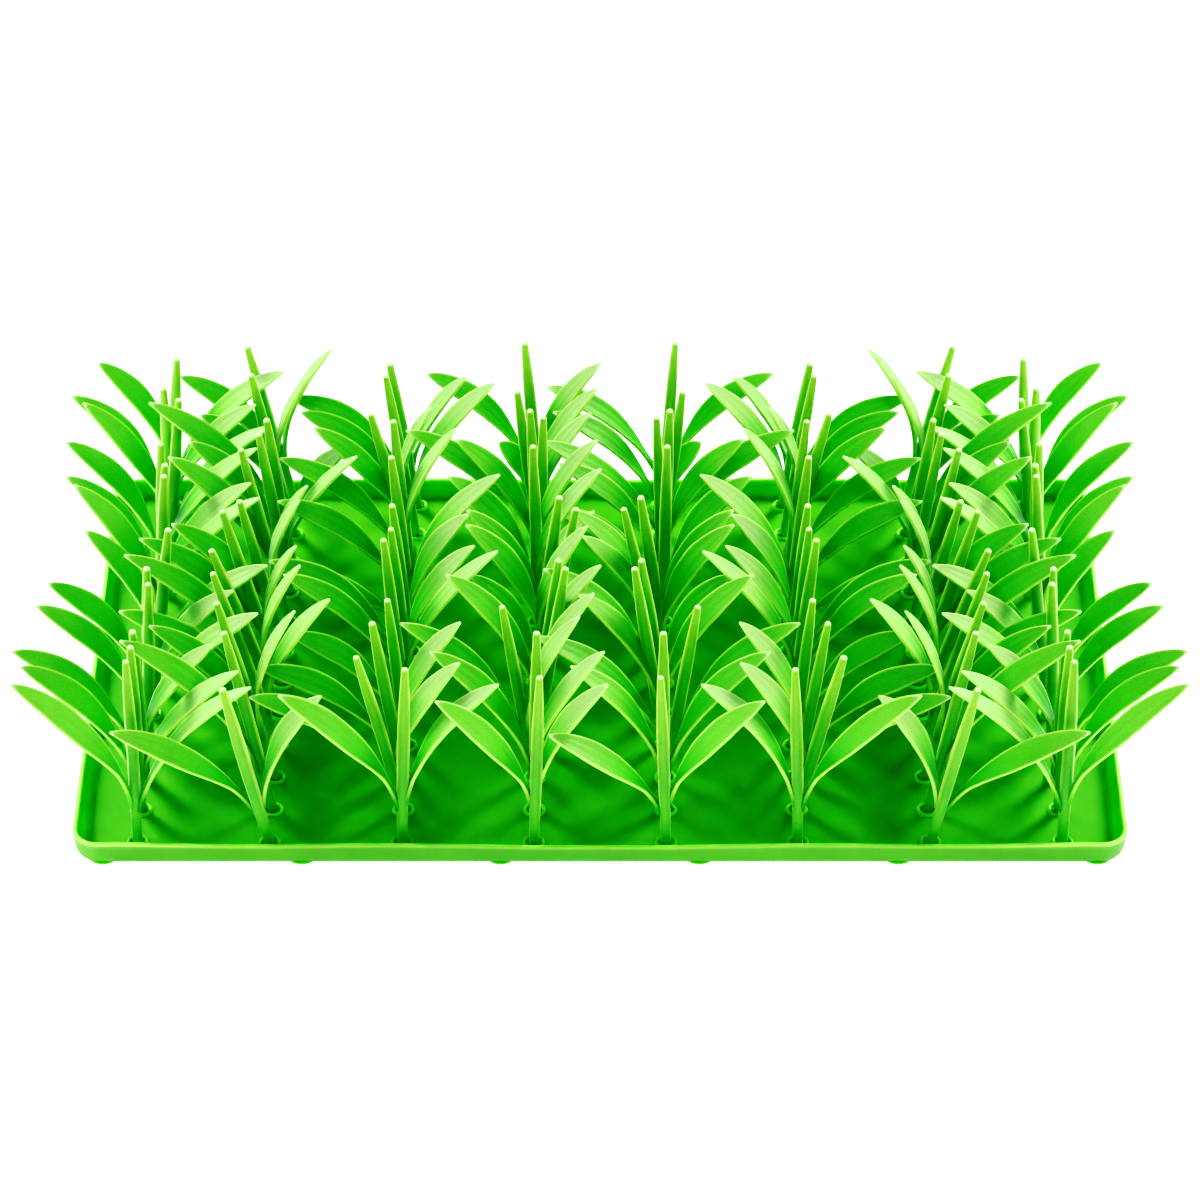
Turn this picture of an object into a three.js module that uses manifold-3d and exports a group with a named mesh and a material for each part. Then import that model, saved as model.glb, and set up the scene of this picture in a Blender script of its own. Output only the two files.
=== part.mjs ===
// Silicone lick mat: a shallow rimmed tray with eight columns of grass sprigs standing in its floor.
// Millimetres, +Z up. The origin is on the surface, under the middle of the tray, and -Y is the front.
import * as THREE from "three";
import { mergeVertices } from "three/addons/utils/BufferGeometryUtils.js";
import Module from "manifold-3d";

const wasm = await Module();
wasm.setup();

// Tray
const trayWidth = 300;
const trayDepth = 180;
const trayCorner = 8;
const cornerSteps = 5;
const footHeight = 0.9;
const floorTop = 2.9;
const lipTop = 7.8;
// Up the outside, over the lip and down to the floor: distance in from the lip's edge, and height
const wallProfile = [
  { inset: 2.4, height: footHeight },
  { inset: 0.9, height: 2.2 },
  { inset: 0, height: lipTop },
  { inset: 1.4, height: lipTop },
  { inset: 2.4, height: 3.9 },
  { inset: 3.6, height: floorTop },
];

// Feet under the tray
const feetAcross = 6;
const feetDeep = 4;
const footPitch = 56.5;
const footRadius = 4.4;
const footFlatRadius = 3.2;
const footSides = 8;
const footSink = 0.4;

// Columns of sprigs and the strips that carry them
const columnCount = 8;
const columnPitch = 37.6;
const rowCount = 12;
const rowPitch = 14.9;
const clearance = 0.3;
const stripWidth = 7.4;
const stripThickness = 1;
const stripOverhang = 3.6;
const stripDepth = (rowCount - 1) * rowPitch + 2 * stripOverhang;
const stripBottom = floorTop - stripThickness;
const rootSink = 0.5;

// Shoot: a four-sided rod, its sizes given at the corners
const shootLength = 60;
const collarHeight = 1.4;
const collarCorner = 4;
const stemCorner = 2;
const shootCorner = 2;
const tipLength = 14;
const tipCorner = 1;

// Leaf: a thin blade that rises along the shoot, arches away from it and swings into a lane of its own
const leafRoot = 8.5;
const leafThickness = 1.1;
const leafSwing = 3.8;
const swingStart = 0.1;
const swingEnd = 0.65;
// Where the arch bends: along the straight line from root to tip and off it, as shares of its length
const bendAlong = 0.51;
const bendOff = 0.226;
// Turn of the leaf about its length, from the stalk to the blade
const stalkTilt = THREE.MathUtils.degToRad(16);
const outerTilt = THREE.MathUtils.degToRad(42);
const turnStart = 0.15;
const turnEnd = 0.55;
const leafSections = [
  { along: 0, width: 1.8 },
  { along: 0.25, width: 2 },
  { along: 0.45, width: 5.2 },
  { along: 0.7, width: 7 },
  { along: 0.885, width: 4.6 },
  { along: 1, width: 0.8 },
];

// How each sprig stands, front row first. lean and nod: the shoot's tip outwards and backwards.
// out and up: reach and height of the leaf tip on the outer side. in and high: the same on the inner side.
// tilt: how far the inner blade turns about its length, in degrees.
const columnNames = ["lean", "nod", "out", "up", "in", "high", "tilt"];
const sprigColumns = [
  [
    [1, 8, 32, 60, 34, 53, 4],
    [0, -1, 32, 49, 30, 53, 14],
    [0, -8, 36, 43, 22, 51, 26],
    [-3, -1, 30, 48, 34, 51, 24],
    [-2, -8, 28, 45, 26, 48, 26],
    [-7, -4, 18, 53, 35, 46, 26],
    [-4, 8, 21, 64, 32, 54, 6],
    [-4, -2, 26, 51, 29, 54, 28],
    [-2, -6, 27, 53, 30, 56, 20],
    [-6, 2, 22, 62, 33, 48, 6],
    [-1, -7, 28, 49, 28, 51, 28],
    [-4, -6, 21, 51, 36, 53, 26],
  ],
  [
    [11, -4, 43, 43, 16, 50, 26],
    [12, 8, 41, 58, 13, 41, 26],
    [15, 8, 34, 52, 8, 63, 4],
    [17, 8, 44, 46, 17, 56, 14],
    [18, 4, 43, 55, 8, 57, 4],
    [16, 8, 40, 50, 6, 53, 4],
    [11, -4, 31, 50, 6, 53, 8],
    [12, 8, 33, 58, 8, 53, 4],
    [7, -1, 28, 53, 22, 53, 4],
    [5, -8, 40, 62, 19, 41, 26],
    [11, 1, 27, 42, 7, 62, 4],
    [13, 2, 34, 46, 13, 61, 2],
  ],
  [
    [-2, 4, 33, 56, 28, 54, 16],
    [12, -4, 43, 38, 17, 56, 28],
    [8, -4, 41, 37, 17, 59, 26],
    [4, -8, 33, 38, 14, 45, 16],
    [6, 6, 35, 48, 27, 62, 12],
    [4, -4, 40, 42, 20, 53, 28],
    [4, -7, 38, 33, 18, 48, 28],
    [5, 2, 39, 42, 27, 57, 28],
    [5, 6, 39, 47, 14, 63, 6],
    [12, -4, 29, 53, 6, 55, 8],
    [8, 0, 34, 43, 25, 59, 26],
    [7, -8, 38, 38, 16, 51, 14],
  ],
  [
    [-2, 0, 27, 54, 21, 54, 26],
    [-1, 6, 29, 54, 20, 60, 16],
    [9, 4, 38, 53, 13, 61, 14],
    [-9, 8, 25, 59, 17, 58, 20],
    [-7, -4, 19, 48, 19, 57, 20],
    [-12, 8, 20, 55, 15, 60, 20],
    [-7, -3, 20, 55, 17, 49, 20],
    [1, 8, 26, 51, 19, 59, 20],
    [-2, 8, 24, 54, 18, 59, 20],
    [2, -4, 39, 52, 16, 53, 20],
    [6, -8, 12, 32, 18, 57, 20],
    [4, 2, 34, 47, 19, 56, 24],
  ],
];
// The inner leaves of the column right of the middle, which reach across to the column on its left
const acrossLeaves = [
  { in: 33, high: 42 },
  { in: 27, high: 49 },
  { in: 37, high: 48 },
  { in: 25, high: 52 },
  { in: 35, high: 50 },
  { in: 24, high: 51 },
  { in: 27, high: 55 },
  { in: 33, high: 39 },
  { in: 31, high: 45 },
  { in: 36, high: 48 },
  { in: 33, high: 43 },
  { in: 35, high: 42 },
];
const acrossTilt = 26;
// Where two leaves of a row cross, 1 sends the outward one in front of the other, and -1 behind it
const crossing = [1, -1, -1, -1, -1, -1, 1, -1, -1, 1, -1, -1];

const silicone = { roughness: 0.45, metalness: 0 };
const trayMaterial = new THREE.MeshStandardMaterial({ color: 0x18b010, ...silicone });
const sprigMaterial = new THREE.MeshStandardMaterial({ color: 0x62d824, ...silicone });

// A closed skin over a run of sections with the same number of points, each turning
// counter-clockwise about the direction of the run
function loftGeometry(sections) {
  const count = sections[0].length;
  const points = sections.flat().flatMap((point) => point.toArray());
  const faces = [];
  const last = (sections.length - 1) * count;
  for (let s = 0; s < sections.length - 1; s += 1) {
    for (let i = 0; i < count; i += 1) {
      const a = s * count + i;
      const b = s * count + ((i + 1) % count);
      faces.push(a, b, b + count, a, b + count, a + count);
    }
  }
  for (let i = 1; i < count - 1; i += 1) {
    faces.push(0, i + 1, i, last, last + i, last + i + 1);
  }
  const geometry = new THREE.BufferGeometry();
  geometry.setAttribute("position", new THREE.Float32BufferAttribute(points, 3));
  geometry.setIndex(faces);
  return geometry;
}

function toSolid(geometry) {
  const bare = geometry.clone();
  bare.deleteAttribute("normal");
  bare.deleteAttribute("uv");
  const merged = mergeVertices(bare, 1e-4);
  return new wasm.Manifold(new wasm.Mesh({
    numProp: 3,
    vertProperties: new Float32Array(merged.attributes.position.array),
    triVerts: new Uint32Array(merged.index.array),
  }));
}

function toMesh(solid, name, material) {
  const { vertProperties, triVerts } = solid.getMesh();
  const geometry = new THREE.BufferGeometry();
  geometry.setAttribute("position", new THREE.BufferAttribute(new Float32Array(vertProperties), 3));
  geometry.setIndex(new THREE.BufferAttribute(new Uint32Array(triVerts), 1));
  geometry.computeVertexNormals();
  const mesh = new THREE.Mesh(geometry, material);
  mesh.name = name;
  return mesh;
}

// A block given by its middle in plan and its lowest and highest level
function blockSolid(x, y, width, depth, low, high) {
  const block = new THREE.BoxGeometry(width, depth, high - low);
  block.translate(x, y, (low + high) / 2);
  return toSolid(block);
}

function columnX(column) {
  return (column - (columnCount - 1) / 2) * columnPitch;
}

function rowY(row) {
  return (row - (rowCount - 1) / 2) * rowPitch;
}

// Outline of the tray at one level of its wall, counter-clockwise from above
function trayOutline({ inset, height }) {
  const radius = trayCorner - inset;
  const middleX = trayWidth / 2 - trayCorner;
  const middleY = trayDepth / 2 - trayCorner;
  const points = [];
  for (let corner = 0; corner < 4; corner += 1) {
    const sideX = corner === 0 || corner === 3 ? 1 : -1;
    const sideY = corner < 2 ? 1 : -1;
    for (let step = 0; step <= cornerSteps; step += 1) {
      const angle = (corner + step / cornerSteps) * Math.PI / 2;
      const x = sideX * middleX + radius * Math.cos(angle);
      const y = sideY * middleY + radius * Math.sin(angle);
      points.push(new THREE.Vector3(x, y, height));
    }
  }
  return points;
}

function makeTray() {
  let tray = toSolid(loftGeometry(wallProfile.map(trayOutline)));
  const grooveWidth = stripWidth + 2 * clearance;
  const grooveDepth = stripDepth + 2 * clearance;
  for (let column = 0; column < columnCount; column += 1) {
    const x = columnX(column);
    tray = tray.subtract(blockSolid(x, 0, grooveWidth, grooveDepth, stripBottom - clearance, lipTop));
  }
  const footRise = footHeight + footSink;
  for (let i = 0; i < feetAcross; i += 1) {
    for (let j = 0; j < feetDeep; j += 1) {
      const foot = new THREE.CylinderGeometry(footRadius, footFlatRadius, footRise, footSides);
      foot.rotateX(Math.PI / 2);
      const x = (i - (feetAcross - 1) / 2) * footPitch;
      const y = (j - (feetDeep - 1) / 2) * footPitch;
      foot.translate(x, y, footRise / 2);
      tray = tray.add(toSolid(foot));
    }
  }
  return toMesh(tray, "tray", trayMaterial);
}

// Four corners round a point of the shoot
function shootSection(point, corner) {
  const half = corner / Math.SQRT2;
  const signs = [[1, 1], [-1, 1], [-1, -1], [1, -1]];
  return signs.map(([x, y]) => new THREE.Vector3(point.x + x * half, point.y + y * half, point.z));
}

function makeShoot(foot, direction) {
  const at = (height) => foot.clone().addScaledVector(direction, height);
  return toSolid(loftGeometry([
    shootSection(at(-rootSink), collarCorner),
    shootSection(at(collarHeight), stemCorner),
    shootSection(at(shootLength - tipLength), shootCorner),
    shootSection(at(shootLength), tipCorner),
  ]));
}

// Middle line of a leaf: an arch from root to tip that swings over to the lane of the tip
class LeafSpine extends THREE.Curve {
  constructor(root, bend, tip) {
    super();
    this.arch = new THREE.QuadraticBezierCurve3(root, bend, tip);
  }

  getPoint(along, target = new THREE.Vector3()) {
    this.arch.getPoint(along, target);
    const share = THREE.MathUtils.smoothstep(along, swingStart, swingEnd);
    return target.setY(THREE.MathUtils.lerp(this.arch.v0.y, this.arch.v2.y, share));
  }
}

// A blade from the shoot to its tip. side is 1 towards +X and -1 towards -X, swing is the way it bends in Y.
function makeLeaf(foot, root, side, reach, rise, swing, bladeTilt) {
  const tip = foot.clone().add(new THREE.Vector3(side * reach, swing, rise));
  const chord = tip.clone().sub(root).setY(0);
  const bow = new THREE.Vector3(-side * chord.z, 0, side * chord.x);
  const bend = root.clone().addScaledVector(chord, bendAlong).addScaledVector(bow, bendOff);
  const spine = new LeafSpine(root, bend, tip);
  const sections = leafSections.map(({ along, width }) => {
    const middle = spine.getPoint(along);
    const run = spine.getTangent(along);
    const across = new THREE.Vector3(0, 1, 0);
    across.addScaledVector(run, -run.y).normalize();
    const upper = run.clone().cross(across).multiplyScalar(side);
    const turn = THREE.MathUtils.smoothstep(along, turnStart, turnEnd);
    const tilt = THREE.MathUtils.lerp(stalkTilt, bladeTilt, turn);
    const edge = across.multiplyScalar(Math.cos(tilt)).addScaledVector(upper, Math.sin(tilt));
    const face = run.clone().cross(edge);
    const corners = [[1, 1], [-1, 1], [-1, -1], [1, -1]];
    return corners.map(([w, t]) => middle.clone()
      .addScaledVector(edge, w * width / 2)
      .addScaledVector(face, t * leafThickness / 2));
  });
  return toSolid(loftGeometry(sections));
}

function makeSprig(foot, side, habit, outerSwing, innerSwing) {
  const sway = new THREE.Vector3(side * habit.lean, habit.nod, 0);
  const upright = Math.sqrt(shootLength ** 2 - sway.lengthSq());
  const direction = sway.clone().setZ(upright).divideScalar(shootLength);
  const root = foot.clone().addScaledVector(direction, leafRoot);
  const innerTilt = THREE.MathUtils.degToRad(habit.tilt);
  return makeShoot(foot, direction)
    .add(makeLeaf(foot, root, side, habit.out, habit.up, outerSwing, outerTilt))
    .add(makeLeaf(foot, root, -side, habit.in, habit.high, innerSwing, innerTilt));
}

function makeSprigColumn(column) {
  const mirrored = column >= columnCount / 2;
  const side = mirrored ? 1 : -1;
  const table = sprigColumns[mirrored ? columnCount - 1 - column : column];
  const reachesAcross = column === columnCount / 2;
  const x = columnX(column);
  let strip = blockSolid(x, 0, stripWidth, stripDepth, stripBottom, floorTop);
  for (let row = 0; row < rowCount; row += 1) {
    const habit = Object.fromEntries(columnNames.map((name, i) => [name, table[row][i]]));
    if (reachesAcross) {
      Object.assign(habit, acrossLeaves[row], { tilt: acrossTilt });
    }
    const outerSwing = -crossing[row] * leafSwing;
    const innerSwing = reachesAcross ? outerSwing : -outerSwing;
    const foot = new THREE.Vector3(x, rowY(row), floorTop);
    strip = strip.add(makeSprig(foot, side, habit, outerSwing, innerSwing));
  }
  return toMesh(strip, `sprigs_${column + 1}`, sprigMaterial);
}

const lickMat = new THREE.Group();
lickMat.name = "lick_mat";
lickMat.add(makeTray());
for (let column = 0; column < columnCount; column += 1) {
  lickMat.add(makeSprigColumn(column));
}

export default lickMat;
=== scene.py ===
import math

import bpy
import numpy as np
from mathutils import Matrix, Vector


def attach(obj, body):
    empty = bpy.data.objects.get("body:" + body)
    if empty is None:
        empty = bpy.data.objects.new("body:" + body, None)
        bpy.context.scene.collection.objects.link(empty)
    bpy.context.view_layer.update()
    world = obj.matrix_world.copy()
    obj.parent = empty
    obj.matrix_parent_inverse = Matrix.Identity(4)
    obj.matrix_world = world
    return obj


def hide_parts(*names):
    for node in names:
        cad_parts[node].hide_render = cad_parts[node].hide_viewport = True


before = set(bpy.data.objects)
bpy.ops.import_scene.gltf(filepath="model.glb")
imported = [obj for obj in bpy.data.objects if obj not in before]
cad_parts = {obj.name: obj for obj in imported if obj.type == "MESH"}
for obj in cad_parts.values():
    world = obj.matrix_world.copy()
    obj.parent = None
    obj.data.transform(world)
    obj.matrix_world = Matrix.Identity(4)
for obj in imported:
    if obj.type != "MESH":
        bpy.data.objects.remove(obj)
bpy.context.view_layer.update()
mm = 0.001
print("frame loaded,", len(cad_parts), "nodes")


# camera

photoCamera = {
    "lens": 162.1,          # for a square picture
    "sensor": 36,
    "distance": 1594,       # from a point above the middle of the tray
    "aimHeight": 20,
    "elevation": 37.03,     # degrees
    "lookUp": 0.23,         # degrees the lens points above that point
}


def addCamera(plan):
    lens = bpy.data.cameras.new("photoCamera")
    lens.lens = plan["lens"]
    lens.sensor_width = plan["sensor"]
    camera = bpy.data.objects.new("photoCamera", lens)
    bpy.context.collection.objects.link(camera)
    slope = math.radians(plan["elevation"])
    back = plan["distance"] * mm
    camera.location = (0, -back * math.cos(slope), plan["aimHeight"] * mm + back * math.sin(slope))
    camera.rotation_euler = (math.radians(90 - plan["elevation"] + plan["lookUp"]), 0, 0)
    bpy.context.scene.camera = camera


addCamera(photoCamera)
print("camera set")


# small helpers for meshes

def smoothStep(low, high, value):
    share = np.clip((value - low) / (high - low), 0, 1)
    return share * share * (3 - 2 * share)


def unit(vectors):
    return vectors / np.linalg.norm(vectors, axis=-1, keepdims=True)


def easeThrough(stations, values, at):
    # smooth curve through the given stations, level where they turn
    stations, values = np.array(stations, float), np.array(values, float)
    slopes = np.diff(values) / np.diff(stations)
    tangents = np.zeros(len(values))
    inner = slopes[:-1] * slopes[1:] > 0
    tangents[1:-1][inner] = 2 * slopes[:-1][inner] * slopes[1:][inner] / (slopes[:-1] + slopes[1:])[inner]
    tangents[0], tangents[-1] = slopes[0], slopes[-1]
    k = np.clip(np.searchsorted(stations, at, side="right") - 1, 0, len(stations) - 2)
    gap = stations[k + 1] - stations[k]
    s = (at - stations[k]) / gap
    return (
        (2 * s**3 - 3 * s**2 + 1) * values[k]
        + (s**3 - 2 * s**2 + s) * gap * tangents[k]
        + (3 * s**2 - 2 * s**3) * values[k + 1]
        + (s**3 - s**2) * gap * tangents[k + 1]
    )


class Stock:
    # collects swept shapes, in millimetres, until they become one piece
    def __init__(self):
        self.points = []
        self.faces = []
        self.marks = {}
        self.count = 0

    def sweep(self, rings, closedLoop=False, **marks):
        # rings: (number of rings, points in a ring, 3), each ring turning left about the way it runs
        steps, around = rings.shape[:2]
        index = np.arange(steps * around).reshape(steps, around) + self.count
        if closedLoop:
            index = np.vstack([index, index[:1]])
        right = np.roll(index, -1, axis=1)
        quads = np.stack([index[:-1], right[:-1], right[1:], index[1:]], axis=-1).reshape(-1, 4)
        self.faces += quads.tolist()
        if not closedLoop:
            self.faces += [index[0][::-1].tolist(), index[-1].tolist()]
        self.points.append(rings.reshape(-1, 3))
        for label, values in marks.items():
            self.marks.setdefault(label, []).append(np.broadcast_to(values, (steps, around)).ravel())
        self.count += steps * around

    def toPiece(self, name, finish, stoodFor=()):
        mesh = bpy.data.meshes.new(name)
        mesh.from_pydata((np.concatenate(self.points) * mm).tolist(), [], self.faces)
        for label, values in self.marks.items():
            mark = mesh.attributes.new(label, "FLOAT", "POINT")
            mark.data.foreach_set("value", np.concatenate(values).astype(np.float32))
        mesh.shade_smooth()
        mesh.materials.append(finish)
        piece = bpy.data.objects.new(name, mesh)
        bpy.context.collection.objects.link(piece)
        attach(piece, "root")
        if stoodFor:
            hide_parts(*stoodFor)


# small helpers for finishes

def newFinish(name):
    finish = bpy.data.materials.new(name)
    finish.use_nodes = True
    tree = finish.node_tree
    return finish, tree, tree.nodes["Principled BSDF"]


def addNode(tree, kind, inputs=None, **settings):
    node = tree.nodes.new(kind)
    for label, value in settings.items():
        setattr(node, label, value)
    for socket, value in (inputs or {}).items():
        node.inputs[socket].default_value = value
    return node


def markOf(tree, label):
    return addNode(tree, "ShaderNodeAttribute", attribute_name=label).outputs["Fac"]


def rampOf(tree, source, stops):
    ramp = addNode(tree, "ShaderNodeValToRGB")
    tones = ramp.color_ramp.elements
    while len(tones) < len(stops):
        tones.new(1)
    for tone, (place, colour) in zip(tones, stops):
        tone.position = place
        tone.color = (*colour, 1)
    tree.links.new(source, ramp.inputs["Fac"])
    return ramp.outputs["Color"]


def rangeOf(tree, source, low, high, newLow, newHigh):
    limits = {"From Min": low, "From Max": high, "To Min": newLow, "To Max": newHigh}
    span = addNode(tree, "ShaderNodeMapRange", limits)
    tree.links.new(source, span.inputs["Value"])
    return span.outputs["Result"]


def mathOf(tree, operation, first, second=0.0):
    sums = addNode(tree, "ShaderNodeMath", operation=operation)
    for socket, value in enumerate((first, second)):
        if isinstance(value, (int, float)):
            sums.inputs[socket].default_value = value
        else:
            tree.links.new(value, sums.inputs[socket])
    return sums.outputs[0]


def mixOf(tree, share, first, second, blend="MIX"):
    # the node's sockets for colours are 6 and 7, and 2 on its way out
    mix = addNode(tree, "ShaderNodeMix", data_type="RGBA", blend_type=blend)
    for socket, value in ((0, share), (6, first), (7, second)):
        if isinstance(value, (int, float)):
            mix.inputs[socket].default_value = value
        elif isinstance(value, tuple):
            mix.inputs[socket].default_value = (*value, 1)
        else:
            tree.links.new(value, mix.inputs[socket])
    return mix.outputs[2]


def noiseOf(tree, place, scale, detail, roughness=0.55):
    noise = addNode(tree, "ShaderNodeTexNoise", {"Scale": scale, "Detail": detail, "Roughness": roughness})
    tree.links.new(place, noise.inputs["Vector"])
    return noise.outputs["Fac"]


# what both silicones share

silicone = {
    "ior": 1.41,
    "noiseSpan": (0.3, 0.7),         # span of a noise that leads from the low roughness to the high one
}


def addSkin(tree, shader, look, blotches, relief):
    # uneven satin, a fine relief, and light that soaks in a little
    rough = rangeOf(tree, blotches, *silicone["noiseSpan"], *look["rough"])
    tree.links.new(rough, shader.inputs["Roughness"])
    bump = addNode(tree, "ShaderNodeBump", {"Strength": look["bump"], "Distance": look["bumpDepth"] * mm})
    tree.links.new(relief, bump.inputs["Height"])
    tree.links.new(bump.outputs["Normal"], shader.inputs["Normal"])
    shader.inputs["IOR"].default_value = silicone["ior"]
    shader.inputs["Specular IOR Level"].default_value = look["specular"]
    shader.inputs["Subsurface Weight"].default_value = look["subsurface"]
    shader.inputs["Subsurface Radius"].default_value = look["subsurfaceTint"]
    shader.inputs["Subsurface Scale"].default_value = look["subsurfaceReach"] * mm


# silicone of the sprigs

sprigLook = {
    "leaf": [                        # colour of a leaf from its stalk to its tip, darker towards the stalk as painted shade deep in the lawn
        (0.0, (0.025, 0.270, 0.005)),
        (0.30, (0.050, 0.370, 0.013)),
        (0.65, (0.120, 0.540, 0.032)),
        (1.0, (0.165, 0.610, 0.048)),
    ],
    "shoot": [                       # colour of a shoot from its foot up
        (0.0, (0.138, 0.505, 0.044)),
        (0.35, (0.090, 0.392, 0.030)),
        (1.0, (0.170, 0.510, 0.036)),
    ],
    "pale": (0.262, 0.566, 0.130),   # painted sheen: paler colour on the leaves that face the light
    "rim": (0.400, 0.800, 0.125),    # painted highlights on the margins of the leaves and down the sides of the shoots, and painted light on the back-row shoots
    "rimShare": 0.62,
    "tip": (0.640, 0.900, 0.420),    # painted highlight on the thin ends, almost white
    "mottleNoise": (160, 4),         # scale and detail
    "mottle": [(0.3, (0.93, 0.96, 0.91)), (0.7, (1.0, 1.0, 1.0))],
    "grainNoise": (2600, 2),
    "speck": [(0.35, (0.86, 0.91, 0.84)), (0.65, (1.0, 1.0, 1.0))],   # fine bloom on the skin
    "lineTurn": 26.0,                # fine lines along a leaf: radians of their wave from middle to edge
    "lineRise": 0.35,                # and their height beside that of the grain
    "bump": 0.12,
    "bumpDepth": 0.15,
    "rough": (0.44, 0.54),
    "specular": 0.25,
    "sheen": 0.30,
    "sheenRough": 0.35,
    "sheenTint": (0.75, 1.0, 0.4),
    "subsurface": 0.2,
    "subsurfaceTint": (0.25, 1.0, 0.12),
    "subsurfaceReach": 1.4,
}


def sprigSilicone(look):
    finish, tree, shader = newFinish("sprigSilicone")
    place = addNode(tree, "ShaderNodeTexCoord").outputs["Object"]
    mottle = noiseOf(tree, place, *look["mottleNoise"])
    grain = noiseOf(tree, place, *look["grainNoise"])

    along = markOf(tree, "along")
    # leaves turn darker towards the stalk: painted shade
    leafTone = rampOf(tree, along, look["leaf"])
    shootTone = rampOf(tree, along, look["shoot"])
    colour = mixOf(tree, markOf(tree, "round"), leafTone, shootTone)
    # painted sheen on the leaves that face the light
    colour = mixOf(tree, markOf(tree, "pale"), colour, look["pale"])
    colour = mixOf(tree, 1.0, colour, rampOf(tree, mottle, look["mottle"]), "MULTIPLY")
    colour = mixOf(tree, 1.0, colour, rampOf(tree, grain, look["speck"]), "MULTIPLY")
    # painted highlights on leaf margins and shoot sides, and painted light on the back-row shoots
    rim = mathOf(tree, "MULTIPLY", markOf(tree, "rim"), look["rimShare"])
    colour = mixOf(tree, rim, colour, look["rim"])
    # painted highlight on the ends
    colour = mixOf(tree, markOf(tree, "tip"), colour, look["tip"])
    tree.links.new(colour, shader.inputs["Base Color"])

    # fine lengthwise lines of the leaf, and the satin grain of the mould
    wave = mathOf(tree, "SINE", mathOf(tree, "MULTIPLY", markOf(tree, "across"), look["lineTurn"]))
    lines = mathOf(tree, "MULTIPLY", wave, look["lineRise"])
    addSkin(tree, shader, look, mottle, mathOf(tree, "ADD", lines, grain))

    shader.inputs["Sheen Weight"].default_value = look["sheen"]
    shader.inputs["Sheen Roughness"].default_value = look["sheenRough"]
    shader.inputs["Sheen Tint"].default_value = (*look["sheenTint"], 1)
    return finish


# silicone of the tray

trayLook = {
    "floor": (0.086, 0.400, 0.013),
    "wall": (0.096, 0.370, 0.029),   # outside of the rim
    "lip": (0.158, 0.745, 0.032),    # painted light on the top of the rim and its inside
    "line": (0.320, 0.720, 0.110),   # painted highlight along the lip
    "patchNoise": (28, 3),           # scale and detail
    "patches": [(0.3, (0.85, 0.88, 0.85)), (0.7, (1.0, 1.0, 1.0))],
    "grainNoise": (1800, 2),
    "bump": 0.08,
    "bumpDepth": 0.2,
    "rough": (0.50, 0.60),
    "specular": 0.20,
    "subsurface": 0.5,
    "subsurfaceTint": (0.12, 1.0, 0.06),
    "subsurfaceReach": 2.5,
}


def traySilicone(look):
    finish, tree, shader = newFinish("traySilicone")
    place = addNode(tree, "ShaderNodeTexCoord").outputs["Object"]
    patches = noiseOf(tree, place, *look["patchNoise"])
    grain = noiseOf(tree, place, *look["grainNoise"])

    colour = mixOf(tree, markOf(tree, "outer"), look["floor"], look["wall"])
    # painted light on the top of the rim and its inside
    colour = mixOf(tree, markOf(tree, "lip"), colour, look["lip"])
    # painted highlight along the lip
    colour = mixOf(tree, markOf(tree, "line"), colour, look["line"])
    colour = mixOf(tree, 1.0, colour, rampOf(tree, patches, look["patches"]), "MULTIPLY")
    tree.links.new(colour, shader.inputs["Base Color"])
    addSkin(tree, shader, look, patches, grain)
    return finish


sprigFinish = sprigSilicone(sprigLook)
trayFinish = traySilicone(trayLook)
print("silicone finishes made")


# tray

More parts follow.
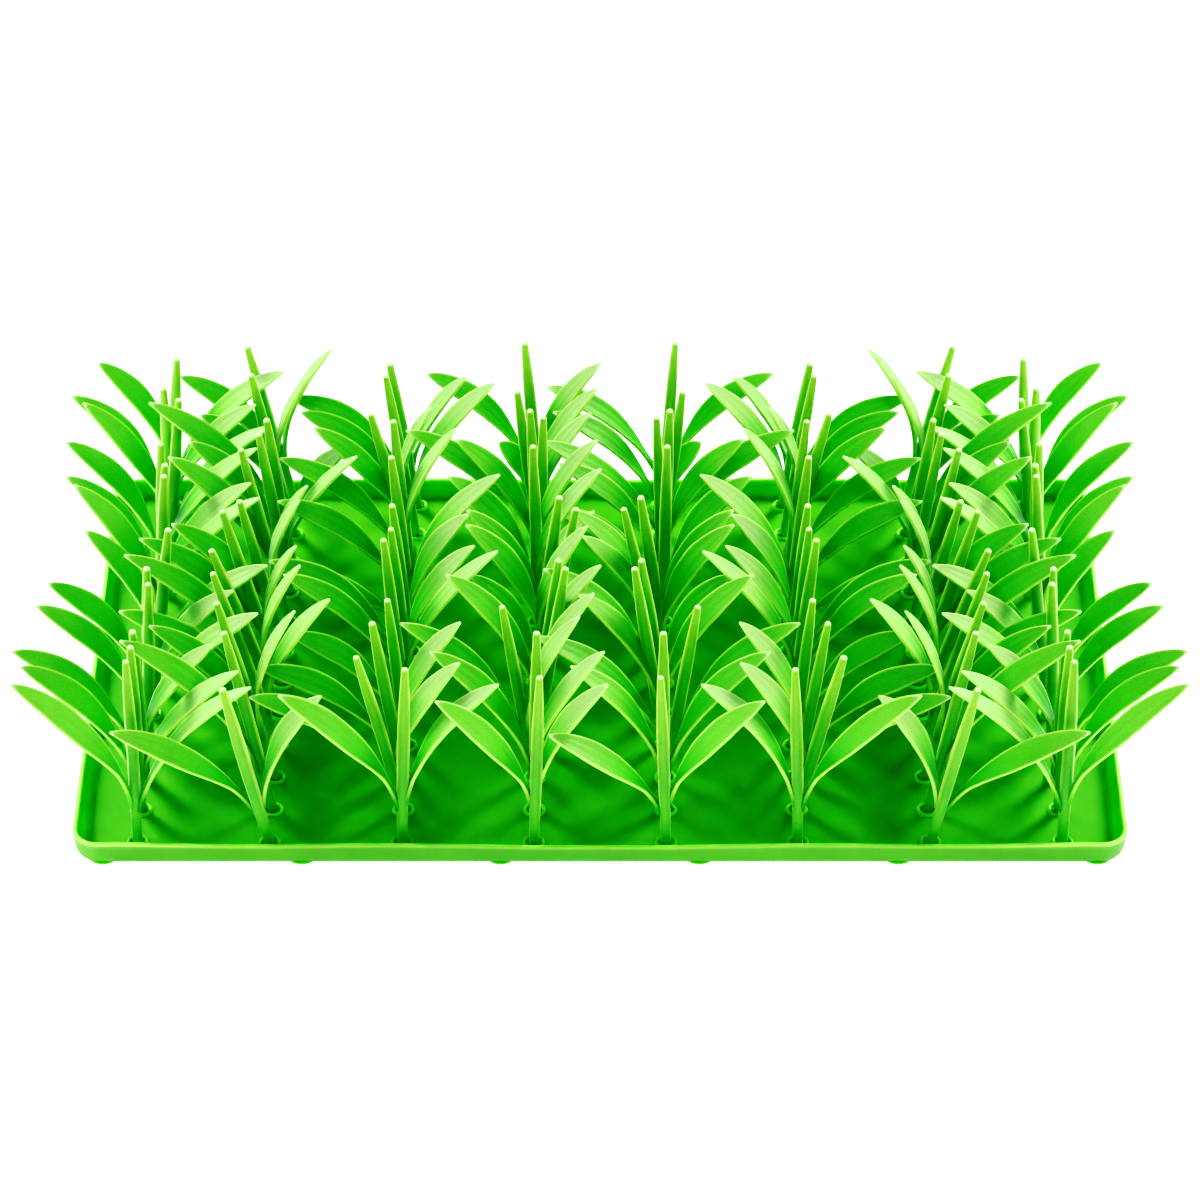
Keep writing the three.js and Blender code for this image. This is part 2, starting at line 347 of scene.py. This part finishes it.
tray = {
    "width": 300,
    "depth": 180,
    "corner": 8,
    "cornerShrink": 3.6,        # how much smaller the corners' radius gets on the inner rings
    "floorTop": 2.9,
    "lipTop": 7.8,
    "bottom": 0.9,
    "sideSteps": (60, 36),      # along the long and the short sides
    "cornerSteps": 10,
    "flatStep": 6,              # spacing of the rings across the floor
    "flatGap": (0.5, 1),        # least gap between them and the profile, below and above
    "wave": 0.35,               # how far the soft lip runs up and down
    "waveLength": 90,
    "waveCrest": 57,
    "endCrest": -20,            # the same for the two ends, and their share of the wave
    "endWave": 0.7,
    "endSpan": (12, 4),         # insets from the end between which the one wave becomes the other
    "frontLift": (0.4, 0.9),    # how much higher the front lip is, in the middle and near the corners
    "liftAcross": (40, 130),    # where it goes from the one to the other
    "liftDeep": (40, 80),       # where it starts, towards the front
    "frontLine": (0.5, 1.0),    # strength of the front lip's painted highlight line, in the middle and near the corners
    "frontSpan": (90, 135),     # where it grows from the one to the other
    "palerBack": (12, 6),       # insets from the back and the ends where the whole lip turns pale with a painted highlight
    "palerEnd": (8, 3),
    "palerLine": 0.9,           # how strong that is
    "lineSpan": (0.1, 1.4),     # insets of its painted pale top, and how far that fades on both sides
    "lineFade": (0.2, 0.15),
    "lipFoot": 7,               # the lip is what stands above this
    "innerEdge": (1.4, 1.5),    # insets where the inside of the wall starts
    "backShade": 0.25,          # painted shade: how much of the lip's tone the inside of the back wall lacks
    # up the outside, round the lip and down to the floor: inset, height, then outer, lip and line marks,
    # the lip mark painted light and the line mark a painted highlight
    "profile": [
        (3.6, 0.9, 1, 0, 0),
        (2.9, 0.93, 1, 0, 0),
        (2.2, 1.1, 1, 0, 0),
        (1.5, 1.5, 1, 0, 0),
        (1.0, 2.1, 1, 0, 0),
        (0.7, 3.0, 1, 0, 0),
        (0.45, 4.4, 1, 0, 0),
        (0.22, 5.8, 1, 0, 0),
        (0.05, 6.85, 1, 0, 0.1),
        (0.0, 7.25, 1, 0, 0.7),
        (0.07, 7.55, 1, 0, 1),
        (0.28, 7.75, 1, 0.5, 0.9),
        (0.55, 7.8, 1, 1, 0.5),
        (0.85, 7.79, 0.5, 1, 0.2),
        (1.15, 7.7, 0, 1, 0),
        (1.36, 7.5, 0, 1, 0),
        (1.48, 7.1, 0, 0.9, 0),
        (1.62, 6.2, 0, 0.8, 0),
        (1.85, 5.0, 0, 0.8, 0),
        (2.15, 4.0, 0, 0.8, 0),
        (2.6, 3.35, 0, 0.8, 0),
        (3.2, 3.0, 0, 0.7, 0),
        (3.9, 2.91, 0, 0.5, 0),
    ],
}


def trayOutline(plan, inset):
    # rounded rectangle, turning left from the back corner of the right end
    radius = min(plan["corner"] - min(inset, plan["cornerShrink"]), plan["depth"] / 2 - inset)
    halfX = plan["width"] / 2 - inset - radius
    halfY = plan["depth"] / 2 - inset - radius
    longSteps, shortSteps = plan["sideSteps"]
    x, y = [], []
    for corner, (signX, signY) in enumerate(((1, 1), (-1, 1), (-1, -1), (1, -1))):
        angles = (corner + np.linspace(0, 1, plan["cornerSteps"] + 1)) * math.pi / 2
        x.append(signX * halfX + radius * np.cos(angles))
        y.append(signY * halfY + radius * np.sin(angles))
        steps = longSteps if corner % 2 == 0 else shortSteps
        along = np.linspace(1, -1, steps + 1)[1:-1]
        if corner % 2 == 0:
            x.append(signX * halfX * along)
            y.append(np.full(len(along), signY * (halfY + radius)))
        else:
            x.append(np.full(len(along), signX * (halfX + radius)))
            y.append(signY * halfY * along)
    return np.stack([np.concatenate(x), np.concatenate(y)], axis=-1)


def nearEdge(size, insets, place):
    # from 0 to 1 between two insets from an edge of the tray
    far, near = insets
    return smoothStep(size / 2 - far, size / 2 - near, place)


def lipWave(plan, outline):
    x, y = np.abs(outline[:, 0]), outline[:, 1]
    turn = 2 * math.pi / plan["waveLength"]
    onEnds = nearEdge(plan["width"], plan["endSpan"], x)
    longWave = np.cos(turn * (x - plan["waveCrest"]))
    endWave = np.cos(turn * (y - plan["endCrest"])) * plan["endWave"]
    middle, corners = plan["frontLift"]
    lift = middle + (corners - middle) * smoothStep(*plan["liftAcross"], x)
    lift = lift * smoothStep(*plan["liftDeep"], -y)
    return lift + plan["wave"] * (longWave * (1 - onEnds) + endWave * onEnds)


def lipMarks(plan, insets, heights, lip, line, outline):
    # painted highlight: the ends and the back show a pale lip, and painted shade makes the back wall
    # darker inside
    x, y = np.abs(outline[:, 0]), outline[:, 1]
    back = nearEdge(plan["depth"], plan["palerBack"], y)
    paler = np.maximum(back, nearEdge(plan["width"], plan["palerEnd"], x))
    low, high = plan["lineSpan"]
    lowFade, highFade = plan["lineFade"]
    top = (heights > plan["lipFoot"]) * smoothStep(low - lowFade, low, insets)
    top = top * (1 - smoothStep(high, high + highFade, insets))
    inside = smoothStep(*plan["innerEdge"], insets)
    # painted shade inside the back wall
    lip = lip * (1 - plan["backShade"] * inside * back)
    # painted highlight line along the front lip, stronger near the corners
    middle, corners = plan["frontLine"]
    front = line * (middle + (corners - middle) * smoothStep(*plan["frontSpan"], x))
    return lip, np.maximum(front, plan["palerLine"] * top * paler)


def makeTray(plan):
    # rings from near the middle of the underside, round the lip and back to the middle of the floor
    middle = plan["depth"] / 2 - plan["flatStep"]
    gapBelow, gapAbove = plan["flatGap"]
    underside = np.arange(middle, plan["profile"][0][0] + gapBelow, -plan["flatStep"])
    floor = np.arange(plan["profile"][-1][0] + gapAbove, middle, plan["flatStep"])
    rows = [(inset, plan["bottom"], 1, 0, 0) for inset in underside]
    rows += plan["profile"]
    rows += [(inset, plan["floorTop"], 0, 0, 0) for inset in (*floor, middle)]
    insets, heights, outer, lip, line = np.hsplit(np.array(rows), 5)
    rings = []
    for inset, height in zip(insets[:, 0], heights[:, 0]):
        outline = trayOutline(plan, inset)
        share = smoothStep(plan["floorTop"], plan["lipTop"], height)
        rings.append(np.column_stack([outline, height + share * lipWave(plan, outline)]))
    lip, line = lipMarks(plan, insets, heights, lip, line, trayOutline(plan, 0))
    stock = Stock()
    stock.sweep(np.array(rings), outer=outer, lip=lip, line=line)
    stock.toPiece("trayShell", trayFinish, ["tray"])


makeTray(tray)
print("tray lofted")


# feet under the tray

feet = {
    "across": 6,
    "deep": 4,
    "pitch": 56.5,
    "sides": 32,
    "sink": 0.5,                # how far they go up into the tray
    "lipShare": 0.5,            # share of the lip's tone, painted light on the feet in the shade under the tray
    # radius and height of the low dome, from its flat up
    "dome": [(1.5, 0.0), (2.7, 0.0), (3.15, 0.07), (3.55, 0.22), (3.9, 0.44), (4.2, 0.68), (4.4, 0.9)],
}


def makeFeet(plan):
    dome = [*plan["dome"], (plan["dome"][-1][0], tray["bottom"] + plan["sink"])]
    turn = np.linspace(0, 2 * math.pi, plan["sides"], endpoint=False)
    stock = Stock()
    for i in range(plan["across"]):
        for j in range(plan["deep"]):
            x = (i - (plan["across"] - 1) / 2) * plan["pitch"]
            y = (j - (plan["deep"] - 1) / 2) * plan["pitch"]
            rings = [
                np.column_stack([x + r * np.cos(turn), y + r * np.sin(turn), np.full(len(turn), z)])
                for r, z in dome
            ]
            # painted light on the feet
            stock.sweep(np.array(rings), outer=1.0, lip=plan["lipShare"], line=0.0)
    stock.toPiece("trayFeet", trayFinish)


makeFeet(feet)
print("feet set")


# sprigs: stem, shoot and two leaves

lawn = {
    "columns": 8,
    "columnPitch": 37.6,
    "rows": 12,
    "rowPitch": 14.9,
    # lean and nod: the shoot's tip outwards and backwards; out and up: reach and height of the outer leaf;
    # in and high: the same for the inner leaf, and last the tilt of its blade in degrees.
    # Front row first, from the outer column to the middle.
    "habits": [
        [
            (1, 8, 32, 60, 34, 53, 4),
            (0, -1, 32, 49, 30, 53, 14),
            (0, -8, 36, 43, 22, 51, 26),
            (-3, -1, 30, 48, 34, 51, 24),
            (-2, -8, 28, 45, 26, 48, 26),
            (-7, -4, 18, 53, 35, 46, 26),
            (-4, 8, 21, 64, 32, 54, 6),
            (-4, -2, 26, 51, 29, 54, 28),
            (-2, -6, 27, 53, 30, 56, 20),
            (-6, 2, 22, 62, 33, 48, 6),
            (-1, -7, 28, 49, 28, 51, 28),
            (-4, -6, 21, 51, 36, 53, 26),
        ],
        [
            (11, -4, 43, 43, 16, 50, 26),
            (12, 8, 41, 58, 13, 41, 26),
            (15, 8, 34, 52, 8, 63, 4),
            (17, 8, 44, 46, 17, 56, 14),
            (18, 4, 43, 55, 8, 57, 4),
            (16, 8, 40, 50, 6, 53, 4),
            (11, -4, 31, 50, 6, 53, 8),
            (12, 8, 33, 58, 8, 53, 4),
            (7, -1, 28, 53, 22, 53, 4),
            (5, -8, 40, 62, 19, 41, 26),
            (11, 1, 27, 42, 7, 62, 4),
            (13, 2, 34, 46, 13, 61, 2),
        ],
        [
            (-2, 4, 33, 56, 28, 54, 16),
            (12, -4, 43, 38, 17, 56, 28),
            (8, -4, 41, 37, 17, 59, 26),
            (4, -8, 33, 38, 14, 45, 16),
            (6, 6, 35, 48, 27, 62, 12),
            (4, -4, 40, 42, 20, 53, 28),
            (4, -7, 38, 33, 18, 48, 28),
            (5, 2, 39, 42, 27, 57, 28),
            (5, 6, 39, 47, 14, 63, 6),
            (12, -4, 29, 53, 6, 55, 8),
            (8, 0, 34, 43, 25, 59, 26),
            (7, -8, 38, 38, 16, 51, 14),
        ],
        [
            (-2, 0, 27, 54, 21, 54, 26),
            (-1, 6, 29, 54, 20, 60, 16),
            (9, 4, 38, 53, 13, 61, 14),
            (-9, 8, 25, 59, 17, 58, 20),
            (-7, -4, 19, 48, 19, 57, 20),
            (-12, 8, 20, 55, 15, 60, 20),
            (-7, -3, 20, 55, 17, 49, 20),
            (1, 8, 26, 51, 19, 59, 20),
            (-2, 8, 24, 54, 18, 59, 20),
            (2, -4, 39, 52, 16, 53, 20),
            (6, -8, 12, 32, 18, 57, 20),
            (4, 2, 34, 47, 19, 56, 24),
        ],
    ],
    # in and high of the column right of the middle, whose inner leaves reach across, and their tilt
    "across": [
        (33, 42), (27, 49), (37, 48), (25, 52), (35, 50), (24, 51),
        (27, 55), (33, 39), (31, 45), (36, 48), (33, 43), (35, 42),
    ],
    "acrossTilt": 26,
    # 1 where the outward leaf of a row passes in front of the other, -1 where behind
    "crossing": [1, -1, -1, -1, -1, -1, 1, -1, -1, 1, -1, -1],
    "swing": 3.8,               # how far a leaf swings to the front or the back
    "seed": 41,
}

shoot = {
    "length": 60,
    "steps": 24,
    "sides": 20,
    "bow": 0.3,                 # how far a shoot strays from a straight line
    "stoutStray": 0.05,         # and from its girth
    # height along the shoot and radius there
    "girth": [
        (-0.6, 1.5), (3, 1.52), (12, 1.65), (24, 1.80),
        (36, 1.82), (46, 1.62), (53, 1.32), (59.0, 1.0),
    ],
    "tipRadius": 1.0,
    "tipArc": [15, 32, 50, 66, 80],         # degrees of the rings on the domed end
    "tipSpan": (0.985, 0.998),  # where along the shoot its end turns almost white with a painted highlight, and how far
    "tipShare": 0.85,
    "lightBack": 0.5,           # painted light: how much lighter the shoots of the back row are
    "sideHighlight": (0.66, 0.92),       # span across of the painted highlights down both sides
    "sideHighlightRise": (0.1, 0.4),     # where along the shoot they come up
}

leaf = {
    "root": 8.5,
    "steps": 38,
    "crowding": 0.92,           # below 1 the steps get closer towards the tip
    "bendAlong": 0.51,          # where the arch bends: along the line from root to tip and off it
    "bendOff": 0.226,
    "swingSpan": (0.1, 0.65),   # where the leaf swings over to its lane
    "turnSpan": (0.15, 0.55),   # where it turns from its stalk's tilt to its blade's
    "stalkTilt": 16,
    "outerTilt": 42,
    "tiltStray": 2,
    "girthStray": 0.03,
    # share of the length, width and thickness there
    "along": [0, 0.16, 0.25, 0.33, 0.45, 0.57, 0.70, 0.82, 0.885, 0.93, 0.965, 1],
    "width": [1.8, 1.8, 2.0, 3.4, 5.3, 6.7, 7.1, 5.9, 4.7, 3.5, 2.2, 0.7],
    "thick": [1.3, 1.25, 1.2, 1.15, 1.1, 1.1, 1.1, 1.05, 1.0, 0.95, 0.85, 0.6],
    "round": 0.3,               # radius of the blunt edges
    "roundLimit": (0.9, 0.6),   # at most these shares of half the thickness and half the width
    "roundArc": [0, 30, 60, 90],            # degrees
    "flats": [0.84, 0.5, 0.36, 0.22, 0.0, -0.22, -0.36, -0.5, -0.84],
    "veins": (0.36, 0.09),      # place across the blade and half width of the two grooves
    "veinDepth": 0.08,
    "veinSpan": (0.3, 0.5, 0.85, 0.97),     # where along the leaf they come and go
    "cup": 0.05,
    "paintedLightEnds": 0.38,            # painted light: how much lighter the outer leaves at both ends are
    "paintedLightBack": 0.25,           # and all those of the back row, also painted light
    "outerPale": 0.05,          # painted sheen on outer leaves, on inner ones and on those that reach across
    "innerPale": 0.9,
    "acrossPale": 0.3,
    "paleSpan": (0.40, 0.93),   # where along the leaf the painted sheen comes up
    "rimBand": (0.55, 0.14),    # distances from the edge between which the painted edge highlight comes up
    "rimRise": (0.05, 0.3),     # where along the leaf it comes up
    "tipSpan": (0.970, 0.995),  # where the end turns almost white with a painted highlight, and how far
    "tipShare": 0.6,
}


def columnX(column):
    return (column - (lawn["columns"] - 1) / 2) * lawn["columnPitch"]


def rowY(row):
    return (row - (lawn["rows"] - 1) / 2) * lawn["rowPitch"]


def shootLine(foot, side, lean, nod, bow, heights):
    # straight at heart, with a slight bow that fades at the foot and the tip
    rise = math.sqrt(shoot["length"] ** 2 - lean**2 - nod**2)
    direction = np.array([side * lean, nod, rise]) / shoot["length"]
    stray = np.sin(math.pi * np.clip(heights / shoot["length"], 0, 1)) ** 2
    return foot + np.outer(heights, direction) + np.outer(stray, (*bow, 0))


def growShoot(stock, foot, side, lean, nod, bow, stout, light):
    girth = np.array(shoot["girth"])
    heights = np.linspace(girth[0, 0], girth[-1, 0], shoot["steps"])
    radii = easeThrough(girth[:, 0], girth[:, 1], heights)
    dome = np.radians(shoot["tipArc"])
    heights = np.concatenate([heights, girth[-1, 0] + shoot["tipRadius"] * np.sin(dome)])
    radii = np.concatenate([radii, shoot["tipRadius"] * np.cos(dome)]) * stout
    line = shootLine(foot, side, lean, nod, bow, heights)
    run = unit(np.gradient(line, axis=0))
    first = unit(np.cross([0.0, 1.0, 0.0], run))
    second = np.cross(run, first)
    turn = np.linspace(0, 2 * math.pi, shoot["sides"], endpoint=False)[None, :, None]
    spokes = np.cos(turn) * first[:, None] + np.sin(turn) * second[:, None]
    rings = line[:, None] + radii[:, None, None] * spokes
    along = (heights / shoot["length"])[:, None]
    # painted highlight on the domed end
    tip = shoot["tipShare"] * smoothStep(*shoot["tipSpan"], along)
    # painted highlights down both sides of the shoot
    sideways = np.abs(np.cos(turn[:, :, 0]))
    sideHighlight = smoothStep(*shoot["sideHighlight"], sideways) * smoothStep(*shoot["sideHighlightRise"], along)
    # painted light on the back-row shoots joins the painted side highlights
    rim = np.maximum(sideHighlight, light)
    stock.sweep(rings, along=along, round=1.0, across=0.0, rim=rim, pale=0.0, tip=tip)


def leafSection(halfWidth, halfThick, vein, cup):
    # blunt-edged loop round the blade, across and through, for every step along it
    ofThick, ofWidth = leaf["roundLimit"]
    bevel = np.minimum(leaf["round"], np.minimum(ofThick * halfThick, ofWidth * halfWidth))
    flatHalf = halfWidth - bevel
    arcs = np.radians(leaf["roundArc"])[None]
    out = flatHalf + bevel * np.sin(arcs)
    up = halfThick - bevel + bevel * np.cos(arcs)
    flats = np.array(leaf["flats"])[None]
    place, spread = leaf["veins"]
    groove = vein * np.exp(-(((np.abs(flats) - place) / spread) ** 2))
    top = flatHalf * flats
    topUp = halfThick - groove
    u = np.concatenate([out, out[:, ::-1]], axis=1)     # round the right edge, from below to above
    v = np.concatenate([-up, up[:, ::-1]], axis=1)
    u = np.concatenate([u, top, -u, -top], axis=1)
    v = np.concatenate([v, topUp, -v, -topUp], axis=1)
    return u, v + cup * u**2 / halfWidth


def growLeaf(stock, foot, root, side, reach, rise, swing, tilt, girth, pale, paintedLight):
    tip = foot + np.array([side * reach, swing, rise])
    chord = (tip - root) * [1, 0, 1]
    off = np.array([-side * chord[2], 0.0, side * chord[0]])
    bend = root + leaf["bendAlong"] * chord + leaf["bendOff"] * off
    t = np.linspace(0, 1, leaf["steps"] + 1) ** leaf["crowding"]
    spine = np.outer((1 - t) ** 2, root) + np.outer(2 * t * (1 - t), bend) + np.outer(t**2, tip)
    spine[:, 1] = root[1] + (tip[1] - root[1]) * smoothStep(*leaf["swingSpan"], t)
    run = unit(np.gradient(spine, t, axis=0))
    across = unit(np.array([0.0, 1.0, 0.0]) - run * run[:, 1:2])
    upper = np.cross(run, across) * side
    turned = smoothStep(*leaf["turnSpan"], t)
    angle = np.radians(leaf["stalkTilt"] + (tilt - leaf["stalkTilt"]) * turned)[:, None]
    wide = across * np.cos(angle) + upper * np.sin(angle)
    through = np.cross(run, wide)

    halfWidth = easeThrough(leaf["along"], leaf["width"], t)[:, None] * girth / 2
    halfThick = easeThrough(leaf["along"], leaf["thick"], t)[:, None] / 2
    start, full, fade, end = leaf["veinSpan"]
    vein = leaf["veinDepth"] * (smoothStep(start, full, t) * (1 - smoothStep(fade, end, t)))[:, None]
    u, v = leafSection(halfWidth, halfThick, vein, side * leaf["cup"])
    rings = spine[:, None] + u[..., None] * wide[:, None] + v[..., None] * through[:, None]

    along = t[:, None]
    inner, outer = leaf["rimBand"]
    # painted highlight along the edges of the blade
    rim = smoothStep(halfWidth - inner, halfWidth - outer, np.abs(u)) * smoothStep(*leaf["rimRise"], along)
    # painted sheen, growing towards the tip
    paintedSheen = pale * smoothStep(*leaf["paleSpan"], along)
    # painted highlight at the very tip
    tipHighlight = leaf["tipShare"] * smoothStep(*leaf["tipSpan"], along)
    # painted light lifts the leaf up its colour ramp
    tone = paintedLight + (1 - paintedLight) * along
    stock.sweep(rings, along=tone, round=0.0, across=u / halfWidth, rim=rim, pale=paintedSheen, tip=tipHighlight)


def growColumn(column, draws):
    mirrored = column >= lawn["columns"] / 2
    side = 1 if mirrored else -1
    habits = lawn["habits"][lawn["columns"] - 1 - column if mirrored else column]
    reachesAcross = column == lawn["columns"] / 2
    # painted light on the outer leaves of the two end columns, and below on every leaf of the back row
    paintedLightEnds = leaf["paintedLightEnds"] if column in (0, lawn["columns"] - 1) else 0
    innerPale = leaf["acrossPale"] if reachesAcross else leaf["innerPale"]
    stock = Stock()
    for row, (lean, nod, out, up, inner, high, tilt) in enumerate(habits):
        outerSwing = -lawn["crossing"][row] * lawn["swing"]
        innerSwing = -outerSwing
        if reachesAcross:
            inner, high = lawn["across"][row]
            tilt = lawn["acrossTilt"]
            innerSwing = outerSwing
        backShare = (row / (lawn["rows"] - 1)) ** 2     # 0 in the front row, 1 in the back row
        paintedLight = leaf["paintedLightBack"] * backShare
        # painted light on the back-row shoots, which stand in the shade of the rows in front
        light = shoot["lightBack"] * backShare
        foot = np.array([columnX(column), rowY(row), tray["floorTop"]])

        stray = draws.uniform(-1, 1, 7)
        bow = shoot["bow"] * stray[:2]
        stout = 1 + shoot["stoutStray"] * stray[2]
        outerTilt = leaf["outerTilt"] + leaf["tiltStray"] * stray[3]
        outerGirth = 1 + leaf["girthStray"] * stray[4]
        innerTilt = tilt + leaf["tiltStray"] * stray[5]
        innerGirth = 1 + leaf["girthStray"] * stray[6]

        growShoot(stock, foot, side, lean, nod, bow, stout, light)
        root = shootLine(foot, side, lean, nod, bow, np.array([leaf["root"]]))[0]
        growLeaf(stock, foot, root, side, out, up, outerSwing,
                 outerTilt, outerGirth, leaf["outerPale"], paintedLight + paintedLightEnds)
        growLeaf(stock, foot, root, -side, inner, high, innerSwing,
                 innerTilt, innerGirth, innerPale, paintedLight)
    stock.toPiece(f"sprigColumn{column + 1}", sprigFinish, [f"sprigs_{column + 1}"])


sprigDraws = np.random.default_rng(lawn["seed"])
for column in range(lawn["columns"]):
    growColumn(column, sprigDraws)
print("sprigs grown,", lawn["columns"] * lawn["rows"], "of them")


# collars round the feet of the sprigs

collar = {
    "inner": 2.2,
    "outer": 3.15,
    "height": 0.75,
    "sink": 0.3,
    "skirt": (0.35, 0.05),      # how far the foot stands out, at its lower and its upper edge
    "skirtTop": 0.25,
    "crownSteps": 7,
    "sides": 36,
    "bright": (0.3, 0.9),       # share of the lip's painted light on the front row and behind it; less in front as painted shade of the front lip
    "lineShare": 0.15,          # how much of the painted highlight line goes with it
}


def makeCollars(column, plan):
    low = tray["floorTop"] - plan["sink"]
    top = tray["floorTop"] + plan["height"]
    middle = (plan["inner"] + plan["outer"]) / 2
    half = (plan["outer"] - plan["inner"]) / 2
    crown = np.radians(np.linspace(0, 180, plan["crownSteps"]))
    skirt = [plan["outer"] + extra for extra in plan["skirt"]]
    skirtLevels = [low, tray["floorTop"] + plan["skirtTop"]]
    radii = np.concatenate([skirt, middle + half * np.cos(crown), [plan["inner"]]])
    levels = np.concatenate([skirtLevels, top - half + half * np.sin(crown), [low]])
    turn = np.linspace(0, 2 * math.pi, plan["sides"], endpoint=False)
    stock = Stock()
    for row in range(lawn["rows"]):
        x, y = columnX(column), rowY(row)
        rings = np.stack([
            x + np.outer(np.cos(turn), radii),
            y + np.outer(np.sin(turn), radii),
            np.broadcast_to(levels, (len(turn), len(levels))),
        ], axis=-1)
        # painted light on the collars, and painted shade on the front row
        bright = plan["bright"][0] if row == 0 else plan["bright"][1]
        stock.sweep(rings[::-1], closedLoop=True, outer=0.0, lip=bright, line=plan["lineShare"] * bright)
    stock.toPiece(f"collarRow{column + 1}", trayFinish)


for column in range(lawn["columns"]):
    makeCollars(column, collar)
print("collars set")


# floor and light

studio = {
    "floorRadius": 6000,
    "floorSides": 96,
    "floorColour": (0.95, 0.95, 0.95),
    "floorRough": 0.9,
    "floorGlow": 0.75,
    "skyStrength": 0.08,
    # how the film takes red, green and blue light: shade sinks to pure green, lit faces turn pale
    "film": (
        [
            (0.04, 0.0006), (0.07, 0.002), (0.10, 0.012), (0.14, 0.066),
            (0.19, 0.172), (0.36, 0.52), (0.74, 0.765),
        ],
        [(0.15, 0.064), (0.29, 0.194), (0.39, 0.335), (0.51, 0.495), (0.74, 0.765)],
        [
            (0.01, 0.0002), (0.023, 0.001), (0.052, 0.012), (0.08, 0.050),
            (0.12, 0.14), (0.2, 0.29), (0.74, 0.765),
        ],
    ),
    # name: place, aim and size in metres, power in watts, spread in degrees
    "boxes": {
        "leftBox": ((-0.435, 0.355, 0.357), (-0.125, 0.01, 0.02), (0.30, 0.32), 0.60, 32),
        "rightBox": ((0.435, 0.355, 0.357), (0.125, 0.01, 0.02), (0.30, 0.32), 0.60, 32),
        "topBox": ((0.0, -0.70, 0.75), (0.0, 0.04, 0.03), (0.60, 0.40), 2.3, 180),
        "backWash": ((0.0, -0.45, 0.95), (0.0, 0.14, 0.05), (0.90, 0.12), 0.17, 17),
        "leftFill": ((-1.0, -0.30, 0.34), (-0.12, 0.0, 0.03), (0.50, 0.40), 3.6, 180),
        "rightFill": ((1.0, -0.30, 0.34), (0.12, 0.0, 0.03), (0.50, 0.40), 3.6, 180),
        "frontBox": ((0.0, -1.25, 0.21), (0.0, 0.0, 0.03), (1.20, 0.36), 6.4, 180),
    },
}


def addStudio(plan):
    turn = np.linspace(0, 2 * math.pi, plan["floorSides"], endpoint=False)
    rim = np.column_stack([np.cos(turn), np.sin(turn), np.zeros(len(turn))]) * plan["floorRadius"] * mm
    mesh = bpy.data.meshes.new("studioFloor")
    mesh.from_pydata(rim.tolist(), [], [list(range(len(rim)))])
    finish, _, shader = newFinish("paleFloor")
    shader.inputs["Base Color"].default_value = (*plan["floorColour"], 1)
    shader.inputs["Roughness"].default_value = plan["floorRough"]
    shader.inputs["Emission Color"].default_value = (1, 1, 1, 1)
    shader.inputs["Emission Strength"].default_value = plan["floorGlow"]
    mesh.materials.append(finish)
    floor = bpy.data.objects.new("studioFloor", mesh)
    bpy.context.collection.objects.link(floor)

    world = bpy.data.worlds.new("studioWorld")
    world.use_nodes = True
    sky = world.node_tree.nodes["Background"]
    sky.inputs["Color"].default_value = (1, 1, 1, 1)
    sky.inputs["Strength"].default_value = plan["skyStrength"]
    bpy.context.scene.world = world

    for name, (place, aim, size, power, spread) in plan["boxes"].items():
        light = bpy.data.lights.new(name, "AREA")
        light.shape = "RECTANGLE"
        light.size, light.size_y = size
        light.energy = power
        light.spread = math.radians(spread)
        lamp = bpy.data.objects.new(name, light)
        bpy.context.collection.objects.link(lamp)
        lamp.location = place
        towards = Vector(aim) - Vector(place)
        lamp.rotation_euler = towards.to_track_quat("-Z", "Y").to_euler()
        lamp.visible_camera = False

    view = bpy.context.scene.view_settings
    view.view_transform = "Standard"
    view.use_curve_mapping = True
    for curve, stops in zip(view.curve_mapping.curves, plan["film"]):
        for light, tone in stops:
            curve.points.new(light, tone)
    view.curve_mapping.update()


addStudio(studio)
print("studio lit")
